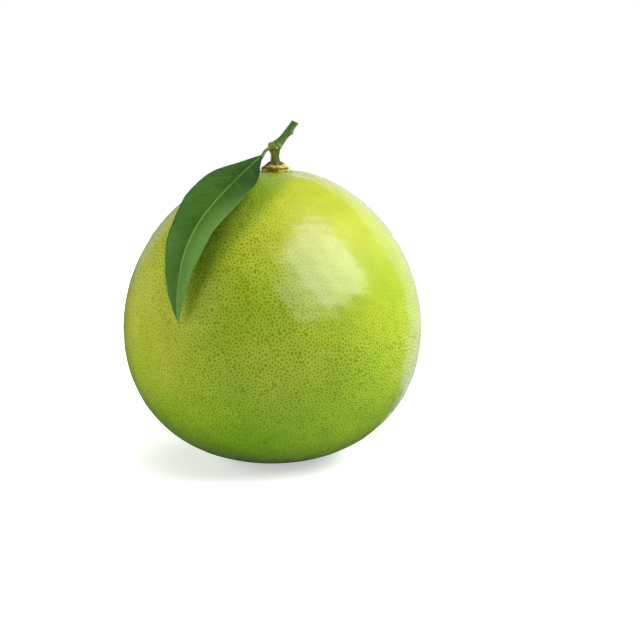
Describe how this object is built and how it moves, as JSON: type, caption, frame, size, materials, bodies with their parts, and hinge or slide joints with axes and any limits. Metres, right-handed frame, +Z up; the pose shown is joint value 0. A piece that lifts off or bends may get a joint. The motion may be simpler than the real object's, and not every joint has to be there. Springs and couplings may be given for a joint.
{
  "type": "pomelo",
  "caption": "Whole pomelo as picked: round pear-shouldered citrus fruit with a woody calyx, a short cut twig and one drooping leaf.",
  "frame": {"origin": "centre of the flat spot at the blossom end on which the fruit rests, which is also the bottom centre of the whole part's box", "axes": "+Z up through the stem end, -Y towards the viewer, with the leaf drooping to the front left (-X, -Y) and the twig leaning to +X"},
  "size_m": [0.1563, 0.1557, 0.1783],
  "materials": {
    "rind": "satin",
    "calyx": "matte",
    "twig": "matte",
    "leaf_stalk": "satin",
    "leaf": "satin"
  },
  "bodies": {
    "root": {"fruit": "rind", "calyx": "calyx", "twig": "twig", "leaf_stalk": "leaf_stalk", "leaf_blade": "leaf"}
  },
  "joints": []
}
